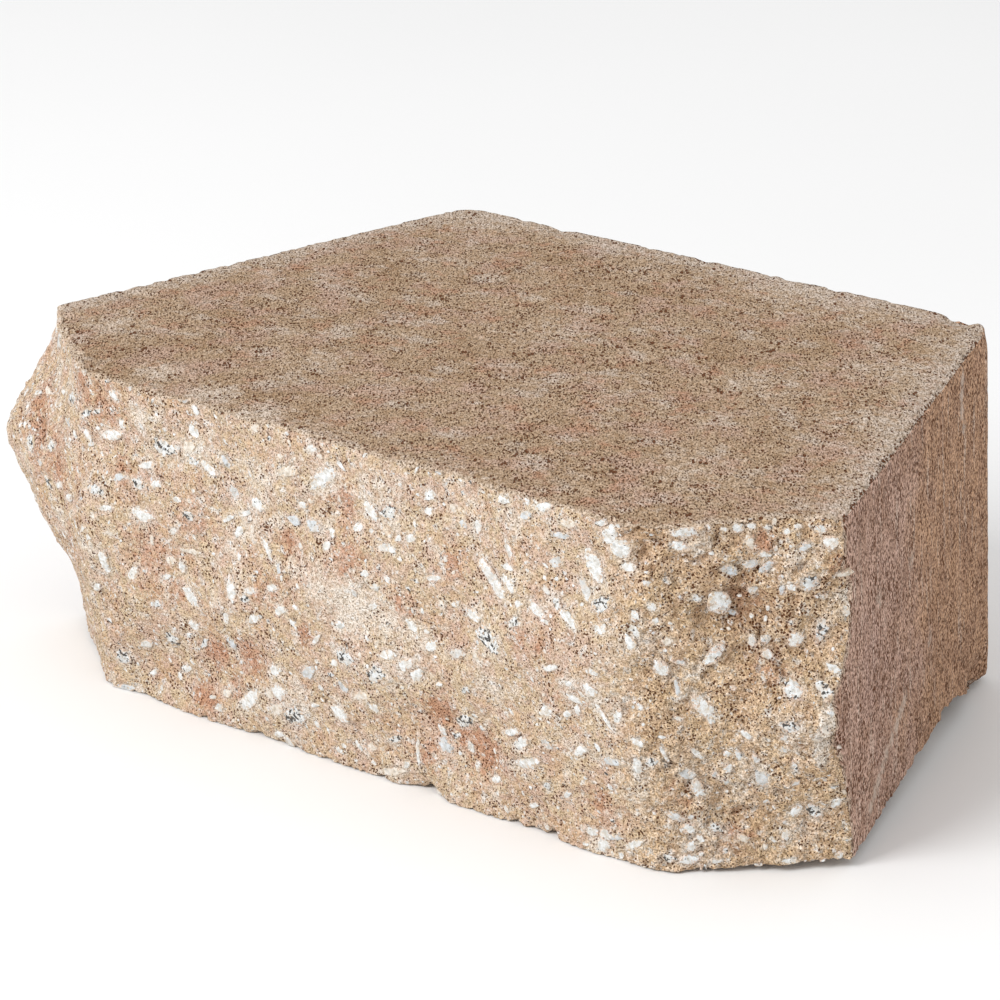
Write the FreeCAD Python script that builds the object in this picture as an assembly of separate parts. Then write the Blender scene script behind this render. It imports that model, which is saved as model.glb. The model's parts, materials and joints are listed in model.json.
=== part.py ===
# Retaining wall block: one piece of dry-cast concrete with flat beds, drawn-in moulded sides,
# a split front in three planes and a lip along the back of the lower bed.
# Units are mm. The block is drawn level, x along the face, y from the face to the back, z up,
# and is then tipped forward to the way it stands alone on a floor: on its front edge and its lip.
import math
import os

import FreeCAD
import Part
from FreeCAD import Vector

INCH = 25.4

# moulded body
FACE_WIDTH = 11.75 * INCH      # across the two corners where the bevels meet the moulded sides
BACK_WIDTH = 8 * INCH
DEPTH = 7 * INCH
HEIGHT = 4 * INCH
REAR_CORNER_RADIUS = 10.0
ARRIS_RADIUS = 1.2             # edges of the moulded top and sides

# lip under the back edge
LIP_DROP = 0.5 * INCH
LIP_FOOT = 12.0                # flat under side of the lip
LIP_RAMP = 30.0                # run of its sloping front
LIP_ROUND = 4.0                # worn lower edges, all but the front one it stands on

# three planes of the split front, in plan
CENTRE_LEFT = 102.0            # from the middle to the left end of the centre panel
CENTRE_RIGHT = 110.0
BEVEL_DEPTH = 37.0             # how far back each bevel runs
CREASE_BLEND = 3.0             # softness of the two upright creases

# swells (+) and hollows (-) of the split front:
# middle across, middle height, half width, half height below, half height above, reach in mm
RELIEF = {
    "left shoulder": (-152.0, 66.0, 52.0, 62.0, 34.0, 21.5),
    "left panel swell": (-100.0, 52.0, 60.0, 50.0, 42.0, 5.0),
    "middle swell": (-12.0, 44.0, 70.0, 42.0, 48.0, 4.0),
    "right panel swell": (78.0, 56.0, 46.0, 50.0, 40.0, 4.5),
    "right shoulder": (158.0, 47.0, 40.0, 44.0, 26.0, 16.0),
    "right top knob": (156.0, 93.0, 22.0, 9.0, 9.0, 5.0),
    "right bevel hollow": (126.0, 78.0, 17.0, 14.0, 15.0, -5.0),
    "right crease hollow": (108.0, 92.0, 12.0, 12.0, 12.0, -3.0),
    "right foot hollow": (128.0, 14.0, 22.0, 12.0, 16.0, -3.0),
    "middle hollow": (36.0, 18.0, 26.0, 16.0, 20.0, -2.5),
    "left foot hollow": (-70.0, 12.0, 34.0, 14.0, 22.0, -2.5),
    "foot chip": (25.0, 0.0, 9.0, 9.0, 8.0, -6.0),
}

# ripples of the break, small against the swells: wave lengths across and up
RIPPLE = 0.45
RIPPLES = ((47.0, 71.0), (-83.0, 35.0), (31.0, -49.0))

# spacing of the points the break is drawn through
FACE_STEP_ACROSS = 9.0
FACE_STEP_UP = 8.0
FACE_MARGIN = 12.0             # how far the surface runs past the block before it is cut


def soft_max(a, b, blend):
    """The larger of two lengths, rounded off where they are close."""
    return 0.5 * (a + b + math.sqrt((a - b) ** 2 + blend ** 2))


def half_wave(distance, reach):
    """1 at the middle, falling smoothly to 0 at the given reach."""
    if abs(distance) >= reach:
        return 0.0
    return 0.5 * (1.0 + math.cos(math.pi * distance / reach))


def split_front(x, z):
    """How far back of the front line the broken face lies at a place across and up the block."""
    half_face = FACE_WIDTH / 2
    left = BEVEL_DEPTH * (-x - CENTRE_LEFT) / (half_face - CENTRE_LEFT)
    right = BEVEL_DEPTH * (x - CENTRE_RIGHT) / (half_face - CENTRE_RIGHT)
    y = soft_max(soft_max(left, 0.0, CREASE_BLEND), right, CREASE_BLEND)
    for middle, height, half_width, below, above, reach in RELIEF.values():
        half_height = above if z > height else below
        y -= reach * half_wave(x - middle, half_width) * half_wave(z - height, half_height)
    for across, up in RIPPLES:
        y += RIPPLE * math.sin(2 * math.pi * (x / across + z / up))
    return y


def spread(start, end, step):
    """Evenly spaced stations from start to end, no wider than step."""
    count = max(2, math.ceil((end - start) / step))
    return [start + (end - start) * i / count for i in range(count + 1)]


def plan_outline():
    """The moulded plan: its drawn-in sides run on forward past the break."""
    draw_in = (FACE_WIDTH - BACK_WIDTH) / 2 / (DEPTH - BEVEL_DEPTH)
    ahead = BEVEL_DEPTH + FACE_MARGIN
    front_half = FACE_WIDTH / 2 + draw_in * ahead
    front = BEVEL_DEPTH - ahead
    back_half = BACK_WIDTH / 2
    return [(-front_half, front), (front_half, front), (back_half, DEPTH), (-back_half, DEPTH)]


def prism(low, high):
    """The moulded plan raised between two heights."""
    points = [Vector(x, y, low) for x, y in plan_outline()]
    return Part.Face(Part.makePolygon(points + points[:1])).extrude(Vector(0, 0, high - low))


def upright_rear_edges(shape):
    return [e for e in shape.Edges
            if abs(e.tangentAt(e.FirstParameter).z) > 0.99 and e.CenterOfMass.y > DEPTH - 1]


def top_edges(shape):
    """The long moulded edges around the upper bed, without the front one the break removes."""
    return [e for e in shape.Edges if e.BoundBox.ZMin > HEIGHT - 0.01 and e.BoundBox.YMax > 0]


def lip_bar():
    """The lip: a bar with a sloping front, cut to the moulded plan."""
    profile = [(DEPTH - LIP_FOOT - LIP_RAMP, 0), (DEPTH - LIP_FOOT, -LIP_DROP), (DEPTH, -LIP_DROP),
               (DEPTH, LIP_DROP), (DEPTH - LIP_FOOT - LIP_RAMP, LIP_DROP)]
    points = [Vector(-FACE_WIDTH, y, z) for y, z in profile]
    bar = Part.Face(Part.makePolygon(points + points[:1])).extrude(Vector(2 * FACE_WIDTH, 0, 0))
    return bar.common(prism(-LIP_DROP, LIP_DROP))


def foot_edges(shape):
    """The edges around the flat foot of the lip, without its front one."""
    return [e for e in shape.Edges
            if e.BoundBox.ZMax < -LIP_DROP + 0.01 and e.CenterOfMass.y > DEPTH - LIP_FOOT + 1]


def moulded_body():
    body = prism(0, HEIGHT).fuse(lip_bar()).removeSplitter()
    body = body.makeFillet(REAR_CORNER_RADIUS, upright_rear_edges(body))
    body = body.makeFillet(ARRIS_RADIUS, top_edges(body))
    return body.makeFillet(LIP_ROUND, foot_edges(body))


def side_of_break():
    """Everything behind the broken face, as a solid under one spline surface."""
    reach = FACE_WIDTH / 2 + FACE_MARGIN
    across = spread(-reach, reach, FACE_STEP_ACROSS)
    up = spread(-FACE_MARGIN, HEIGHT + FACE_MARGIN, FACE_STEP_UP)
    surface = Part.BSplineSurface()
    surface.interpolate([[Vector(x, split_front(x, z), z) for z in up] for x in across])
    return surface.toShape().extrude(Vector(0, 2 * DEPTH, 0))


def standing_tilt():
    """How far the block tips forward, from its foremost lower edge to the foot of its lip."""
    foremost = min(split_front(x, 0) for x in spread(-CENTRE_LEFT, CENTRE_RIGHT, FACE_STEP_ACROSS))
    return math.degrees(math.atan2(LIP_DROP, DEPTH - LIP_FOOT - foremost))


def block():
    body = moulded_body().common(side_of_break())
    body.rotate(Vector(0, 0, 0), Vector(1, 0, 0), standing_tilt())
    box = body.optimalBoundingBox(False, False)
    body.translate(Vector(-box.Center.x, -box.Center.y, -box.ZMin))
    return body.Solids[0]


os.makedirs("parts", exist_ok=True)
block().exportStep("parts/block.step")
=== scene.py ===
# Looks of the retaining wall block: its broken front, worn arrises, moulded beds and sides,
# the aggregate that shows in the break, a pale floor, soft light and the photograph's view.
# Shapes are worked out in mm in the level block's own frame (x along the face, y from face to
# back, z up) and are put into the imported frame, in metres, at the end.
import json
import math
import random
from collections import namedtuple
from functools import reduce

import bmesh
import bpy
import numpy as np
from mathutils import Matrix, Vector, noise
from mathutils.bvhtree import BVHTree
from mathutils.geometry import delaunay_2d_cdt
from mathutils.kdtree import KDTree


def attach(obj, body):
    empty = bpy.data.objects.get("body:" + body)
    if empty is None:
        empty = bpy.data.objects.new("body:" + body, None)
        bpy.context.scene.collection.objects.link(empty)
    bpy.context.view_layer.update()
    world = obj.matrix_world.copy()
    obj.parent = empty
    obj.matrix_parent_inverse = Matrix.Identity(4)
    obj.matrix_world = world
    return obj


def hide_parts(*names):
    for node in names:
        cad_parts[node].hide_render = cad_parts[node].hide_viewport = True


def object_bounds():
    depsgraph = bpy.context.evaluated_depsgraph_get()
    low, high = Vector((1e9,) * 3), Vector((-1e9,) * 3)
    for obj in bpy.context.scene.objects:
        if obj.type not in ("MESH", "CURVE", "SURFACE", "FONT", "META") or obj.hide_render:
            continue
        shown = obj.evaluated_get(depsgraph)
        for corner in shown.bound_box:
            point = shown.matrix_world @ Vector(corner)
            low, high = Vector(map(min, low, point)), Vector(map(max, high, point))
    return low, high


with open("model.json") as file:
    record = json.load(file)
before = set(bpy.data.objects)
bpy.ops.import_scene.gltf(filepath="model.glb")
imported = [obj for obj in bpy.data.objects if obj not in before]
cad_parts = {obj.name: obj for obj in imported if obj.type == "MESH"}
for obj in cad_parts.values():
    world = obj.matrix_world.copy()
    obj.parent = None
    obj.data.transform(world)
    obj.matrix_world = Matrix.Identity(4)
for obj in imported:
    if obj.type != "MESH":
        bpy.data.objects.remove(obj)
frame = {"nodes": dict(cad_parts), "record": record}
cad_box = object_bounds()

MM = 0.001

# sizes of the moulded body, as packed
FACE_WIDTH = 298.45
BACK_WIDTH = 203.2
DEPTH = 177.8
HEIGHT = 101.6
BEVEL_DEPTH = 37.0
REAR_CORNER_RADIUS = 10.0
ARRIS_RADIUS = 1.2
LIP_DROP = 12.7
LIP_FOOT = 12.0
LIP_RAMP = 30.0

# mesh spacing
BREAK_STEP = 0.8
BED_STEP = 1.75
SIDE_STEP = 1.75
LEFT_STEP = 2.3
BACK_STEP = 2.8
UNDER_STEP = 3.0
RIM_STEP = 1.1  # in a band of the bed beside the break
RIM_BAND = 4.0
BREAK_JITTER = 0.25  # of the break's points, in steps
JITTER = 0.22  # of the other points, in steps
ROW_PITCH = 0.866  # from row to row of even triangles, in steps
EDGE_GAP = 0.55  # that the points of a patch leave to its rim, in steps
FIRST_GAP = 0.6  # from its rim to its first row and to the first point of a row, in steps
LAST_GAP = 0.4  # from the last point of a row to its rim, in steps
CORNER_MARGIN = 4.0  # how far onto the back the right side's spacing reaches
MERGED = 1e-5  # distance at which two points of a patch count as one
RIM_INSET = 0.02  # how far inside its rim the break's depth is read

# search for the broken front, from ahead of it and from beside it
AHEAD = 90.0
SIGHT = 160.0
ASIDE = 200.0
HALVINGS = 20

# camera as the photograph shows the block: aim in the level floor frame, front edge at 0
AIM = (4.49, 60.0, 67.19)
AZIMUTH = 40.08
ELEVATION = 19.52
DISTANCE = 1155.9
LENS = 142.19
PHOTO_SIDE = 1000  # pixels
SENSOR = 36.0
FOCAL = LENS / SENSOR * PHOTO_SIDE  # the same length in the photograph's pixels
PIXEL = DISTANCE / FOCAL  # what one of its pixels spans at the block


def block_frame():
    """Origin and tilt of the level block's frame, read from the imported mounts."""
    mounts = {m["name"]: m for m in frame["record"]["mounts"]}
    up, aft = Vector(mounts["upper_bed"]["axis"]), Vector(mounts["back"]["axis"])
    top, back = Vector(mounts["upper_bed"]["pos_m"]), Vector(mounts["back"]["pos_m"])
    origin = Vector((back.x, 0, 0))
    origin += up * (up.dot(top) - HEIGHT * MM) + aft * (aft.dot(back) - DEPTH * MM)
    return origin, math.atan2(-up.y, up.z)


ORIGIN, TILT = block_frame()
TO_ROW = Matrix.Translation(ORIGIN) @ Matrix.Rotation(TILT, 4, "X") @ Matrix.Scale(MM, 4)
TO_BLOCK = TO_ROW.inverted()


class View:
    """The photograph's camera, which also finds the place on the block that a pixel shows."""

    def __init__(self):
        turn, rise = math.radians(AZIMUTH), math.radians(ELEVATION)
        away = Vector((math.sin(turn) * math.cos(rise), -math.cos(turn) * math.cos(rise),
                       math.sin(rise)))
        self.eye = ORIGIN + (Vector(AIM) + away * DISTANCE) * MM
        self.turn = (-away).to_track_quat("-Z", "Y")

    def direction(self, right, up, ahead):
        """A direction along the camera's axes, in the level block's frame."""
        return (TO_BLOCK.to_3x3() @ (self.turn @ Vector((right, up, -ahead)))).normalized()

    def seen(self, packed, across, down):
        """The place that a pixel shows, its outward direction and the line of sight."""
        sight = self.direction(across - PHOTO_SIDE / 2, PHOTO_SIDE / 2 - down, FOCAL)
        place, out = packed.tree.ray_cast(TO_BLOCK @ self.eye, sight)[:2]
        if place is not None and out.dot(sight) > 0:
            out = -out
        return place, out, sight

    def spots(self, packed, rows):
        """For rows that begin with a pixel: the place that it shows, and the rest of the row."""
        for across, down, *rest in rows:
            place = self.seen(packed, across, down)[0]
            if place is not None:
                yield place, *rest


# The block's shape as a fine closed mesh

class Packed:
    """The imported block, read in the level block's frame."""

    def __init__(self, obj):
        points = [TO_BLOCK @ v.co for v in obj.data.vertices]
        self.tree = BVHTree.FromPolygons(points, [tuple(p.vertices) for p in obj.data.polygons])

    def face(self, x, z):
        """The place on the broken front and its outward direction, or None beside it."""
        place, out = self.tree.ray_cast(Vector((x, -AHEAD, z)), Vector((0, 1, 0)), SIGHT)[:2]
        if place is not None and out.y > 0:
            out = -out
        return place, out

    def at(self, x, z):
        """How far back the broken front lies, or None beside it."""
        place = self.face(x, z)[0]
        return None if place is None else place.y

    def reach(self, z, sign):
        """How far across the break reaches at a height."""
        level = min(max(z, RIM_INSET), HEIGHT - ARRIS_RADIUS)
        inside, outside = 0.0, ASIDE * sign
        for _ in range(HALVINGS):
            middle = (inside + outside) / 2
            if self.at(middle, level) is None:
                outside = middle
            else:
                inside = middle
        return inside

    def depth(self, x, z):
        """How far back the break lies; beside the rounded top arris, as just below it."""
        level = min(max(z, RIM_INSET), HEIGHT - RIM_INSET)
        y = self.at(x, level)
        return self.at(x, HEIGHT - ARRIS_RADIUS) if y is None else y


class WallPath:
    """The moulded plan outline: right side, rear corner, back, rear corner, left side.

    A place on it is its distance from where the right rear corner begins."""

    def __init__(self):
        self.lean = math.atan2((FACE_WIDTH - BACK_WIDTH) / 2, DEPTH - BEVEL_DEPTH)
        turn = math.pi / 2 - self.lean
        tangent = REAR_CORNER_RADIUS * math.tan(turn / 2)
        self.arc = REAR_CORNER_RADIUS * turn
        self.back = BACK_WIDTH - 2 * tangent
        self.start = (BACK_WIDTH / 2 + tangent * math.sin(self.lean),
                      DEPTH - tangent * math.cos(self.lean))
        self.length = 2 * self.arc + self.back

    def at(self, s):
        if s > self.length / 2:
            x, y = self.at(self.length - s)
            return -x, y
        if s < 0:
            return (self.start[0] - s * math.sin(self.lean), self.start[1] + s * math.cos(self.lean))
        centre_x = self.start[0] - REAR_CORNER_RADIUS * math.cos(self.lean)
        centre_y = self.start[1] - REAR_CORNER_RADIUS * math.sin(self.lean)
        if s < self.arc:
            angle = self.lean + s / REAR_CORNER_RADIUS
            return (centre_x + REAR_CORNER_RADIUS * math.cos(angle),
                    centre_y + REAR_CORNER_RADIUS * math.sin(angle))
        return self.back / 2 - (s - self.arc), DEPTH

    def where(self, y, sign):
        """The place on the right (+1) or left (-1) side at a depth."""
        s = (y - self.start[1]) / math.cos(self.lean)
        return s if sign > 0 else self.length - s


def under_side(y):
    """Height of the under side: level, then down the lip's slope to its foot."""
    start, foot = DEPTH - LIP_FOOT - LIP_RAMP, DEPTH - LIP_FOOT
    return -LIP_DROP * min(max((y - start) / (foot - start), 0), 1)


def spread(start, end, step):
    count = max(1, round(abs(end - start) / step))
    return [start + (end - start) * i / count for i in range(count + 1)]


def tree_of(places, numbers=None):
    """A search tree of places, each under its own number or else its number in the row."""
    tree = KDTree(len(places))
    for i, place in enumerate(places):
        tree.insert(place, i if numbers is None else numbers[i])
    tree.balance()
    return tree


def fill_points(outline, step, keep, rng):
    """Jittered points inside a closed flat outline, where keep(u, v) says so."""
    near = tree_of([(u, v, 0) for u, v in outline])
    low = min(v for u, v in outline)
    high = max(v for u, v in outline)
    found = []
    for row, v in enumerate(spread(low + step * FIRST_GAP, high - step * FIRST_GAP,
                                   step * ROW_PITCH)):
        crossings = []
        for (u0, v0), (u1, v1) in zip(outline, outline[1:] + outline[:1]):
            if (v0 > v) != (v1 > v):
                crossings.append(u0 + (u1 - u0) * (v - v0) / (v1 - v0))
        crossings.sort()
        for left, right in zip(crossings[::2], crossings[1::2]):
            u = left + step * (FIRST_GAP + row % 2 / 2)
            while u < right - step * LAST_GAP:
                place = (u + rng.uniform(-JITTER, JITTER) * step,
                         v + rng.uniform(-JITTER, JITTER) * step)
                if near.find((*place, 0))[2] > step * EDGE_GAP and keep(*place):
                    found.append(place)
                u += step
    return found


class Shell:
    """The block's closed mesh, put together from patches that share their rim points."""

    def __init__(self):
        self.points = []
        self.faces = []
        self.zones = []
        self.break_rim = set()
        self.moulded_rim = set()

    def add(self, point):
        self.points.append(tuple(point))
        return len(self.points) - 1

    def patch(self, rim, inner, lift, zone, flip=False):
        """Triangulates rim [(number, (u, v))] and inner [(u, v)] points as one patch."""
        numbers = [n for n, place in rim] + [self.add(lift(u, v)) for u, v in inner]
        places = [Vector(place) for n, place in rim] + [Vector(place) for place in inner]
        inside_only = 1
        result = delaunay_2d_cdt(places, [], [list(range(len(rim)))], inside_only, MERGED)
        source = [s[0] for s in result[3]]
        for face in result[2]:
            corners = [numbers[source[i]] for i in face]
            self.faces.append(corners[::-1] if flip else corners)
            self.zones.append(zone)


def break_grid(shell, front, path, rng):
    """The broken front as rows of points; returns their numbers, lowest row first."""
    widest = front.reach(HEIGHT / 2, 1) - front.reach(HEIGHT / 2, -1)
    columns = round(widest / BREAK_STEP)
    grid = []
    for z in spread(0, HEIGHT, BREAK_STEP):
        left, right = front.reach(z, -1), front.reach(z, 1)
        row = []
        for i in range(columns + 1):
            x, level = left + (right - left) * i / columns, z
            if 0 < i < columns:
                if 0 < z < HEIGHT:
                    x += rng.uniform(-BREAK_JITTER, BREAK_JITTER) * BREAK_STEP
                    level += rng.uniform(-BREAK_JITTER, BREAK_JITTER) * BREAK_STEP
                y = front.depth(min(max(x, left + RIM_INSET), right - RIM_INSET), level)
            else:
                y = BEVEL_DEPTH + (FACE_WIDTH / 2 - abs(x)) / math.tan(path.lean)
            row.append(shell.add((x, y, level)))
        grid.append(row)
    for low, high in zip(grid, grid[1:]):
        for a, b, d, c in zip(low, low[1:], high, high[1:]):
            if rng.random() < 0.5:
                shell.faces += [[a, b, c], [a, c, d]]
            else:
                shell.faces += [[a, b, d], [b, c, d]]
            shell.zones += ["break", "break"]
    shell.break_rim.update(grid[0], grid[-1], (r[0] for r in grid), (r[-1] for r in grid))
    return grid


def build_shell(front, rng):
    shell = Shell()
    path = WallPath()
    grid = break_grid(shell, front, path, rng)

    def side_rim(column, sign):
        numbers = [row[column] for row in grid]
        return [(n, (path.where(shell.points[n][1], sign), shell.points[n][2])) for n in numbers]

    right_rim, left_rim = side_rim(-1, 1), side_rim(0, -1)

    def wall_edge(height, start, end):
        """New points along the wall's upper or lower edge, between the two arrises."""
        stations = spread(start, 0, SIDE_STEP)[1:] + spread(0, path.length, SIDE_STEP)[1:]
        stations += spread(path.length, end, LEFT_STEP)[1:-1]
        edge = [(shell.add((*path.at(s), height(path.at(s)[1]))), (s, height(path.at(s)[1])))
                for s in stations]
        shell.moulded_rim.update(n for n, place in edge)
        return edge

    upper = wall_edge(lambda y: HEIGHT, right_rim[-1][1][0], left_rim[-1][1][0])
    lower = wall_edge(under_side, right_rim[0][1][0], left_rim[0][1][0])
    wall_rim = lower + left_rim + upper[::-1] + right_rim[::-1]
    flat_wall = [place for n, place in wall_rim]
    right_end, left_end = path.arc + CORNER_MARGIN, path.length - CORNER_MARGIN
    inner = fill_points(flat_wall, SIDE_STEP, lambda s, z: s < right_end, rng)
    inner += fill_points(flat_wall, BACK_STEP, lambda s, z: right_end < s < left_end, rng)
    inner += fill_points(flat_wall, LEFT_STEP, lambda s, z: s > left_end, rng)
    shell.patch(wall_rim, inner, lambda s, z: (*path.at(s), z), "side")

    def bed_rim(row, edge):
        numbers = row + [n for n, place in edge]
        return [(n, shell.points[n][:2]) for n in numbers]

    top_rim = bed_rim(grid[-1], upper)
    flat_top = [place for n, place in top_rim]
    crest = tree_of([(*shell.points[n][:2], 0) for n in grid[-1]])
    inner = fill_points(flat_top, BED_STEP, lambda x, y: crest.find((x, y, 0))[2] > RIM_BAND, rng)
    inner += fill_points(flat_top, RIM_STEP, lambda x, y: crest.find((x, y, 0))[2] < RIM_BAND, rng)
    shell.patch(top_rim, inner, lambda x, y: (x, y, HEIGHT), "bed")

    under_rim = bed_rim(grid[0], lower)
    flat_under = [place for n, place in under_rim]
    inner = fill_points(flat_under, UNDER_STEP, lambda x, y: True, rng)
    shell.patch(under_rim, inner, lambda x, y: (x, y, under_side(y)), "bed", flip=True)
    return shell


# Roughness and wear, moved into the mesh

ARRIS_BAND = 6.0  # how far from the break's rim its crumbs and wear show
EDGE_BAND = 6.0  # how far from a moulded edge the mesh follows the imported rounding
RIM_DUST = 16.0  # how far from a moulded edge its pale dust reaches
CAVITY_DEPTH = 0.45  # of the small hollows, where the break's colour is darkened as painted shade
CAVITY_REACH = 4  # rounds of smoothing they are measured against
TORN_FROM = 94.0  # where across the face the break turns coarser
TORN_OVER = 14.0  # how gradually
WEAR_REACH = 1.0  # how far from a rim its wear reaches, and how much more for each mm of
WEAR_SPREAD = 1.4  # its depth
WEAR_FALL = 1.5  # power by which it fades
SHARP_ANGLE = 50  # degrees from which an edge of the skin is shaded sharp
LEAST_LENGTH = 1e-12  # of a direction, so that none is divided by zero


def table(columns, text):
    """Rows of numbers, each with so many columns, from a text."""
    numbers = [float(number) for number in text.split()]
    return list(zip(*[iter(numbers)] * columns))


# torn hollows and chips, placed in the photograph's pixels: across, down, reach and depth in mm
HOLLOWS = table(4, """
    713 624 8 2.6  763 625 9 3.8  742 611 9 2.2  738 654 6 2.2  700 613 8 1.8  735 594 6 1.6
    684 588 8 1.8  683 565 9 2  640 556 5 1.8  652 541 5 1.8  38 430 6 1.4  92 366 6 1.4
    803 651 5 2.4  778 650 5 2.2  757 664 5 1.6  809 625 5 1.6  803 536 4 1.6  764 536 4 1.6
    716 789 6 2.2  727 795 5 1.6  741 818 6 2  720 812 6 2  705 765 5 1.6  681 706 5 1.6
    776 735 6 1.8  808 713 5 2  675 672 5 2  838 700 5 2  835 748 7 2.4  845 573 5 2
    745 575 7 1.6  790 660 6 1.4  700 665 5 1.2  829 600 5 1.4  560 600 5 .8  300 720 4 1.2
    376 675 4 .8  515 553 5 .8  978 688 16 3.4  962 318 9 1.6  984 330 7 1.6  140 296 6 1
    66 318 6 1.4  845 516 5 1.2  560 229 6 1  700 262 5 1""")

# marks on the skin, placed in the photograph's pixels: across, down, reach, strength
MARKS = {
    "rust": table(4, """
    487 752 44 1.2  462 735 34 .9  440 712 36 1  425 755 30 .8  218 652 32 1.1  250 656 34 1.1
    208 698 28 1.2  238 690 26 .8  306 635 22 1  402 606 30 .9  343 500 34 .9  288 543 30 .8
    347 558 36 .8  540 648 24 .7  763 543 16 1.3  100 402 70 .7  52 452 60 .7  150 560 70 .6
    604 806 34 .7  742 600 34 .7  842 566 26 .8  770 668 30 .7  270 590 40 .7  560 700 40 .5
    190 520 40 .6  70 540 50 .6  735 835 34 .6  680 800 30 .5  40 400 40 1  34 436 36 1.2
    60 470 40 .9  80 378 34 .9  122 470 26 .8  180 590 30 .7  450 560 30 .6  520 640 30 .6"""),
    "cream": table(4, """
    350 608 52 1.2  318 590 34 .9  388 622 40 1.1  415 634 30 .8  104 436 24 .6  328 482 34 .9
    250 524 40 .7  470 508 44 .5  405 668 34 .8  600 700 60 .6  829 712 13 1.2  800 560 38 .7
    827 724 14 1.3  825 736 15 1.3  823 748 14 1.3  821 759 12 1.2  700 545 34 .7  845 600 20 1
    640 640 44 .6  690 680 30 .7  60 345 34 .6  300 710 34 .8  490 690 40 .5  540 520 50 .3
    800 830 50 .6  140 420 30 .8  200 450 40 .7  62 520 30 .8  260 480 50 .7  380 500 60 .7
    740 780 70 .6  700 840 60 .6  640 790 60 .6  790 740 50 .6"""),
    # pitted hollows: they get more pores, and on the break their colour is darkened as painted shade
    "pits_and_shade": table(4, """
    700 585 90 1  760 620 80 1.1  800 690 60 .5  740 810 50 .3  650 555 50 .9  830 560 44 .8
    520 560 26 .6  370 500 34 .5  90 480 50 .4  620 815 40 .3  40 432 24 1  84 384 34 .7
    124 474 18 .8  440 735 24 .5  300 560 30 .4  830 640 30 .6  410 262 16 1  595 280 16 1.2
    517 307 14 1.1  682 405 20 1.1  583 363 16 1  747 285 14 .9  95 366 26 1.3  130 325 12 1.1
    176 350 14 1  210 370 24 1  235 315 10 .9  110 305 14 .9  850 470 16 .8  640 440 20 .7
    480 400 16 .8  340 330 14 .8"""),
    "dust": table(4, """
    210 395 44 1.1  255 416 50 1.1  300 432 34 .9  160 372 40 .9  480 222 80 .7
    820 290 130 .7  400 470 36 .7  470 488 34 .6  690 470 60 .5  120 320 50 .6  560 330 70 .5
    860 420 60 .7  900 370 60 .7  330 360 60 .4  760 380 60 .5"""),
    "scuff": table(4, """
    963 380 12 1.3  962 396 12 1.3  962 412 12 1.3  964 428 11 1.1  905 700 12 1.2  901 712 12 1.3
    897 725 12 1.3  892 739 12 1.2  887 753 12 1.2  883 767 12 1.2  879 781 12 1.3  875 794 13 1.3
    871 807 12 1.2  912 560 14 .8  880 600 14 .8  930 640 12 .7"""),
}


def break_relief(p):
    """How far the broken concrete stands out at a place, in mm."""
    torn = min(max((p.x - TORN_FROM) / TORN_OVER, 0), 1)
    swell = (0.7 + 0.6 * torn) * noise.fractal(p / 15, 1.0, 2.2, 3)
    lumps = (0.5 + 0.5 * torn) * noise.fractal(p / 5.5 + Vector((31, 7, 3)), 0.8, 2.2, 2)
    crumbs = (0.40 + 0.42 * torn) * noise.fractal(p / 2.2 + Vector((5, 17, 11)), 0.7, 2.0, 2)
    pits = (1.5 + 2.0 * torn) * max(0, noise.noise(p / 3.1 + Vector((9, 3, 21))) - 0.3)
    return swell + lumps + crumbs - pits - 0.1


def bed_relief(p):
    """Slight unevenness and a few shallow pits of a moulded bed, in mm."""
    sag = 0.15 * noise.noise(p / 45)
    skin = 0.14 * noise.fractal(p / 4 + Vector((3, 1, 8)), 0.8, 2.2, 2)
    pits = 1.8 * max(0, noise.noise(p / 4.2 + Vector((2, 9, 4))) - 0.42)
    return sag + skin - pits - 0.1


def side_relief(p):
    """Drag marks up a moulded side, in mm."""
    drag = 0.12 * noise.fractal(Vector((p.x / 2.8, p.y / 2.8, p.z / 18)), 0.8, 2.2, 2)
    skin = 0.10 * noise.noise(p / 3)
    pits = 1.4 * max(0, noise.noise(Vector((p.x / 3.2, p.y / 3.2, p.z / 5))) - 0.46)
    return drag + skin - pits - 0.1


RELIEF = {"break": break_relief, "bed": bed_relief, "side": side_relief}


def point_normals(points, faces, count):
    """Outward directions at the points of some faces, zero at the other points."""
    corners = points[faces]
    across = np.cross(corners[:, 1] - corners[:, 0], corners[:, 2] - corners[:, 0])
    total = np.zeros((count, 3))
    for k in range(3):
        for axis in range(3):
            total[:, axis] += np.bincount(faces[:, k], across[:, axis], count)
    return total / np.maximum(np.linalg.norm(total, axis=1, keepdims=True), LEAST_LENGTH)


def arris_wear(p):
    """How deep an arris beside the break has crumbled, in mm."""
    worn = 0.2 + 1.0 * abs(noise.noise(p / 2.4))
    notch = 3.8 * max(0, noise.noise(p / 7 + Vector((4, 13, 6))) - 0.2)
    return worn + notch


def edge_wear(p):
    """How deep a moulded edge is worn, in mm."""
    worn = (0.8 if p.z > 0 else 1.1) * abs(noise.noise(p / 2.6))
    return worn + 3.2 * max(0, noise.noise(p / 5.5 + Vector((8, 2, 5))) - 0.2)


def nearness(points, place, reach):
    """1 at a place, falling to 0 at some reach from it, for each point."""
    return np.maximum(0, 1 - np.linalg.norm(points - np.array(place), axis=1) / reach)


class Rim:
    """Some of the mesh's points, and how far each of all its points lies from them."""

    def __init__(self, points, numbers):
        numbers = sorted(numbers)
        self.tree = tree_of([points[n] for n in numbers], numbers)
        self.away = np.array([self.tree.find(p)[2] for p in points])


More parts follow.
